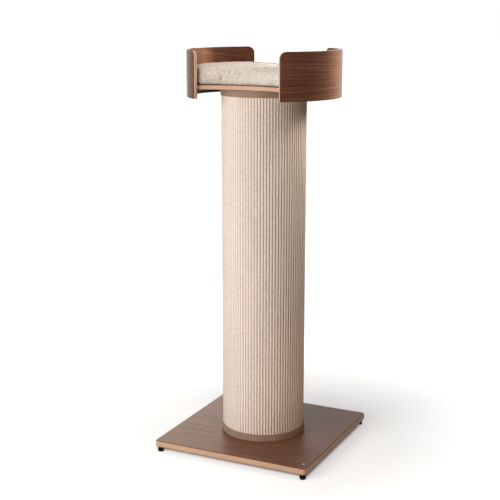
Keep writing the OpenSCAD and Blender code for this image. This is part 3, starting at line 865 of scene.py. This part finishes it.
def make_band(name, node, low):
    """A woven binding round the sleeve's end, with the ribs below it printing through."""
    columns = RIBS * BAND_POINTS
    angle = np.arange(columns) / columns * 2 * math.pi
    bend = BAND_BEND
    middle = BAND_OUT - bend
    section = [(-BAND_TUCK, 0.0), (middle, 0.0)]
    section += [(middle + bend * math.sin(a), bend - bend * math.cos(a)) for a in (0.5, 1.0, math.pi / 2)]
    section += [(BAND_OUT, BAND_HEIGHT * part) for part in (0.15, 0.35, 0.5, 0.65, 0.85)]
    for a in (0.0, 0.6, 1.1, math.pi / 2):
        section.append((middle + bend * math.cos(a), BAND_HEIGHT - bend + bend * math.sin(a)))
    section += [(-BAND_TUCK, BAND_HEIGHT)]
    rings = []
    weave = []
    ripple = -np.cos(angle * RIBS)
    for out, up in section:
        print_through = BAND_PRINT * ripple if out > 0 else 0 * ripple
        radius = COLUMN + out + print_through - BAND_PRINT
        heights = 0 * angle + low + up
        rings.append(np.stack([radius * np.cos(angle), radius * np.sin(angle), heights], axis=-1))
        weave.append(np.stack([angle * COLUMN, 0 * angle + up, 0 * angle], axis=-1))
    faces = grid_faces(len(section), columns, close_rows=True)
    band = add_piece(name, np.concatenate(rings), faces, "tower", [twill_look])
    set_attribute(band, "weave", np.concatenate(weave))
    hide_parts(node)


def cushion_radius(turn, inset):
    """The cushion's outline: the nearer of the walls and the concave front and back, corners blended."""
    along = WAIST_CENTRE * abs(math.sin(turn))
    arc = WAIST_ARC + CUSHION_SETBACK
    under = along ** 2 - WAIST_CENTRE ** 2 + arc ** 2
    front = 3 * PERCH if under < 0 else along - math.sqrt(under)
    side = WALL_INNER - CUSHION_GAP
    return (side ** -CUSHION_BLEND + front ** -CUSHION_BLEND) ** (-1 / CUSHION_BLEND) - inset


def make_cushion():
    """The loose cushion, swelled as cloth, with its loops raised."""
    columns = CUSHION_COLUMNS
    points = []
    for inset, up in CUSHION_RINGS:
        for i in range(columns):
            turn = 2 * math.pi * i / columns
            radius = cushion_radius(turn, inset)
            points.append((radius * math.cos(turn), radius * math.sin(turn), cover_low.z + up))
    faces = grid_faces(len(CUSHION_RINGS), columns)
    points.append((0, 0, cover_low.z))
    points.append((0, 0, cover_low.z + CUSHION_MIDDLE))
    last = (len(CUSHION_RINGS) - 1) * columns
    for i in range(columns):
        after = (i + 1) % columns
        faces.append((len(points) - 2, after, i))
        faces.append((len(points) - 1, last + i, last + after))
    cushion = add_piece("cushion_soft", points, faces, "cushion", [boucle_look])
    puff(cushion)
    fit_cushion(cushion)
    refine(cushion)
    loop_relief(cushion)
    fit_cushion(cushion)
    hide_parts("cushion_cover", "cushion_foam")


def puff(piece):
    """Swells a closed piece as cloth under pressure, no point moving further than the cloth's reach."""
    remesh = piece.modifiers.new("remesh", "REMESH")
    remesh.mode = "VOXEL"
    remesh.voxel_size = CLOTH_VOXEL
    apply_modifiers(piece)
    before = points_of(piece.data)
    cloth = piece.modifiers.new("cloth", "CLOTH")
    cloth.settings.use_pressure = True
    cloth.settings.uniform_pressure_force = CLOTH_PRESSURE
    cloth.settings.effector_weights.gravity = 0
    cloth.settings.quality = CLOTH_QUALITY
    for step in range(1, CLOTH_FRAMES + 1):
        bpy.context.scene.frame_set(step)
    apply_modifiers(piece)
    bpy.context.scene.frame_set(1)
    after = points_of(piece.data)
    moved = after - before
    length = np.linalg.norm(moved, axis=1)
    scale = np.minimum(1, CLOTH_REACH / np.maximum(length, 1e-9))
    move_points(piece.data, before + moved * scale[:, None])
    smooth_faces(piece)


def fit_cushion(piece):
    """Keeps the cushion on the perch's floor and clear of the walls."""
    points = points_of(piece.data)
    radius = np.hypot(points[:, 0], points[:, 1])
    most = WALL_INNER - CUSHION_GAP
    scale = np.minimum(1, most / np.maximum(radius, 1e-9))
    points[:, :2] *= scale[:, None]
    points[:, 2] = np.maximum(points[:, 2], cover_low.z)
    move_points(piece.data, points)


def refine(piece):
    """Splits each face of a piece once."""
    finer = piece.modifiers.new("finer", "SUBSURF")
    finer.levels = 1
    finer.render_levels = 1
    apply_modifiers(piece)
    smooth_faces(piece)


def loop_relief(piece):
    """Raises the loops of the fabric in the mesh itself."""
    mesh = piece.data
    points = points_of(mesh)
    flat = np.empty(len(mesh.vertices) * 3)
    mesh.vertices.foreach_get("normal", flat)
    normals = flat.reshape(-1, 3)
    lift = np.empty(len(points))
    for i, point in enumerate(points):
        spot = Vector(point)
        knots = noise.voronoi(spot * LOOPS_PER_METRE)[0][0]
        clumps = noise.noise(spot * CLUMPS_PER_METRE)
        lift[i] = LOOP_RELIEF * (0.55 - knots) + CLUMP_RELIEF * clumps
    resting = points[:, 2] < cover_low.z + RESTING
    lift[resting] = 0
    move_points(mesh, points + normals * lift[:, None])


def make_top_screw():
    """The small bright screw in the base's top, with a cross recess."""
    centre_x = (screw_low.x + screw_high.x) / 2
    centre_y = (screw_low.y + screw_high.y) / 2
    radius = (screw_high.x - screw_low.x) / 2
    top = screw_high.z
    rise = top - base_high.z
    section = [
        (SCREW_TIP, screw_low.z),
        (radius / 2, screw_low.z + SCREW_TAPER),
        (radius / 2, base_high.z - SCREW_NECK),
        (radius - 0.0001, base_high.z - 0.0001),
        (radius, base_high.z),
    ]
    section += [(radius * math.cos(a), base_high.z + rise * math.sin(a)) for a in (0.3, 0.6, 0.9, 1.2, 1.45)]
    columns = SCREW_SIDES
    points = []
    for out, z in section:
        for i in range(columns):
            turn = 2 * math.pi * i / columns
            points.append((centre_x + out * math.cos(turn), centre_y + out * math.sin(turn), z))
    faces = grid_faces(len(section), columns)
    faces.append([i for i in reversed(range(columns))])
    faces.append([(len(section) - 1) * columns + i for i in range(columns)])
    screw = add_piece("top_screw_head", points, faces, "tower", [steel_look])
    for turn in (math.pi / 4, 3 * math.pi / 4):
        cut_bar(screw, (centre_x, centre_y, top - CROSS_DEPTH), turn, radius * CROSS_REACH)
    smooth_by_angle(screw, SCREW_SHARP)
    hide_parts("top_screw")


def cut_bar(piece, centre, turn, reach):
    """Cuts one upright slot of the cross recess out of a piece."""
    ahead = Vector((math.cos(turn), math.sin(turn), 0))
    aside = Vector((-math.sin(turn), math.cos(turn), 0))
    signs = ((-1, -1), (1, -1), (1, 1), (-1, 1))
    corners = [Vector(centre) + ahead * (sx * reach) + aside * (sy * CROSS_HALF) for sx, sy in signs]
    points = corners + [corner + Vector((0, 0, CROSS_HEIGHT)) for corner in corners]
    faces = [(3, 2, 1, 0), (4, 5, 6, 7), (0, 1, 5, 4), (1, 2, 6, 5), (2, 3, 7, 6), (3, 0, 4, 7)]
    cut_away(piece, points, faces)


def make_floor():
    """A white floor that keeps the object's shadow near it, has painted shade under the base, and turns to
    the white background.
    """
    look = Look("studio_floor")
    x, y, z = look.split(look.node("ShaderNodeTexCoord", {}).outputs["Object"])
    away = look.math("SQRT", look.math("ADD", look.math("MULTIPLY", x, x), look.math("MULTIPLY", y, y)))
    own = look.math("MULTIPLY", look.span(away, FLOOR_NEAR, FLOOR_FAR, FLOOR_GLOW, 1.0), look.seen_directly())
    # Painted shade under the base: a darker grey and no own white there
    side = look.span(look.math("ABSOLUTE", x), *UNDER_SIDE)
    front = look.span(look.math("ABSOLUTE", y), *UNDER_FRONT)
    clear = look.math("MAXIMUM", side, front)
    own = look.math("MULTIPLY", own, clear)
    grey = look.span(clear, 0, 1, UNDER_PAINTED_SHADE_GREY, FLOOR_GREY)
    tree = look.tree
    diffuse = look.node("ShaderNodeBsdfDiffuse", {"Color": look.join(grey, grey, grey)})
    white = look.node("ShaderNodeEmission", {"Color": (1, 1, 1, 1), "Strength": own})
    both = look.node("ShaderNodeAddShader", {})
    tree.links.new(diffuse.outputs[0], both.inputs[0])
    tree.links.new(white.outputs[0], both.inputs[1])
    tree.links.new(both.outputs[0], tree.nodes["Material Output"].inputs[0])
    mesh = bpy.data.meshes.new("floor")
    corners = [(sx * FLOOR_REACH, sy * FLOOR_REACH, 0) for sx, sy in ((-1, -1), (1, -1), (1, 1), (-1, 1))]
    mesh.from_pydata(corners, [], [(0, 1, 2, 3)])
    floor = bpy.data.objects.new("floor", mesh)
    mesh.materials.append(look.material)
    bpy.context.collection.objects.link(floor)


def make_world():
    """A studio that is white behind the tower and darker in front of it, with a soft fill."""
    world = bpy.data.worlds.new("studio")
    bpy.context.scene.world = world
    world.use_nodes = True
    nodes = Nodes(world.node_tree)
    ahead = nodes.node("ShaderNodeTexCoord", {}).outputs["Generated"]
    behind = nodes.node("ShaderNodeVectorMath", {0: ahead, 1: STUDIO_BACK}, operation="DOT_PRODUCT")
    mirrored = nodes.span(behind.outputs["Value"], -0.3, 0.4, STUDIO_FRONT, 1.0)
    level = nodes.math("MULTIPLY", nodes.seen_directly(), mirrored)
    level = nodes.math("MAXIMUM", level, STUDIO_FILL)
    camera = nodes.node("ShaderNodeLightPath", {}).outputs["Is Camera Ray"]
    level = nodes.math("MAXIMUM", level, camera)
    shade = nodes.tree.nodes["Background"]
    nodes.put(shade.inputs["Color"], (1, 1, 1, 1))
    nodes.put(shade.inputs["Strength"], level)


def add_lamp(name, azimuth, elevation, distance, size, power, target, colour=(1, 1, 1), spread=180):
    """A soft box round the tower. Azimuth 0 is the front and 90 the right."""
    light = bpy.data.lights.new(name, "AREA")
    light.color = colour
    light.spread = math.radians(spread)
    light.shape = "RECTANGLE"
    light.size = size[0]
    light.size_y = size[1]
    light.energy = power
    lamp = bpy.data.objects.new(name, light)
    bpy.context.collection.objects.link(lamp)
    flat = distance * math.cos(math.radians(elevation))
    turn = math.radians(azimuth)
    aim = Vector(target)
    lamp.location = aim + Vector((
        flat * math.sin(turn), -flat * math.cos(turn), distance * math.sin(math.radians(elevation))))
    lamp.rotation_euler = (aim - lamp.location).to_track_quat("-Z", "Y").to_euler()


def make_camera():
    """The eye that took the picture."""
    camera = bpy.data.cameras.new("camera")
    camera.lens = CAMERA_LENS
    camera.sensor_width = CAMERA_SENSOR
    holder = bpy.data.objects.new("camera", camera)
    bpy.context.collection.objects.link(holder)
    holder.location = CAMERA_PLACE
    holder.rotation_euler = Vector(CAMERA_AHEAD).to_track_quat("-Z", "Y").to_euler()
    bpy.context.scene.camera = holder


# Looks of all parts, hidden ones too
base_veneer = walnut("base_veneer", seed=3.1, painted_light=BASE_PAINTED_LIGHT, gloss=0.6)
base_edge = ply_edge("base_edge")
floor_veneer = walnut("floor_veneer", seed=8.4)
floor_edge = ply_edge("floor_edge")
right_veneer = walnut("right_veneer", seed=5.7, painted_light=RIGHT_PAINTED_LIGHT, skirt=SKIRT)
left_veneer = walnut("left_veneer", cathedral=LEFT_FLAME, seed=1.9, painted_light=LEFT_PAINTED_LIGHT, skirt=SKIRT)
wall_edge = ply_edge("wall_edge")
sisal_look = sisal("sisal_yarn")
twill_look = twill("binding_twill")
boucle_look = boucle("boucle_wool")
steel_look = metal("bright_steel", srgb(250, 249, 247), 0.12)
brass_look = metal("brass", srgb(196, 164, 98), 0.35)
black_steel_look = moulded("black_steel", srgb(20, 19, 18), 0.5)
foot_look = moulded("foot_plastic", srgb(4, 4, 4), 0.5)
board_look = paperboard("wound_board")
foam_look = foam("cushion_foam")

SLOT_LOOKS = {
    "walnut": base_veneer,
    "plywood": floor_edge,
    "sisal": sisal_look,
    "binding": twill_look,
    "boucle": boucle_look,
    "foam": foam_look,
    "paperboard": board_look,
    "foot_plastic": foot_look,
    "black_steel": black_steel_look,
    "bright_steel": steel_look,
    "insert_brass": brass_look,
}

for part in frame["record"]["subparts"]:
    shown = frame["nodes"][part["node"]]
    for slot in shown.material_slots:
        slot.material = SLOT_LOOKS[part["material_slot"]]

# Pieces
make_base()
make_platform()
make_wall("right_wall", "wall_right", 1, right_veneer)
make_wall("left_wall", "wall_left", -1, left_veneer)
make_sleeve()
make_band("bottom_band", "binding_bottom", base_high.z)
make_band("top_band", "binding_top", sleeve_high.z - BAND_HEIGHT)
make_cushion()
make_top_screw()

# Stage
make_floor()
make_world()
add_lamp("key", -30, 12, 3.2, (1.6, 1.6), 60, MIDDLE, COOL)
add_lamp("front", 2, 10, 3.2, (1.4, 1.2), 28, MIDDLE, WARM)
add_lamp("low_front", -5, 3, 3.2, (1.4, 0.8), 11, MIDDLE, WARM)
add_lamp("right", 115, 32, 1.4, (0.6, 0.6), 2.3, (0, 0, 1.14), WARM, 50)
add_lamp("back_right", 148, 22, 2.4, (1.0, 1.0), 1.5, (0, 0, 1.18), WARM, 40)
add_lamp("low_right", 78, 6, 1.7, (0.5, 0.3), 0.17, (0, 0, 0.12), AMBER, 40)
add_lamp("back_left", -144, 14, 3.2, (1.4, 1.4), 10, MIDDLE, WARM)
add_lamp("top", 10, 80, 1.6, (1.0, 1.0), 8, (0, 0, 1.1))
make_camera()
bpy.context.scene.view_settings.view_transform = "Standard"
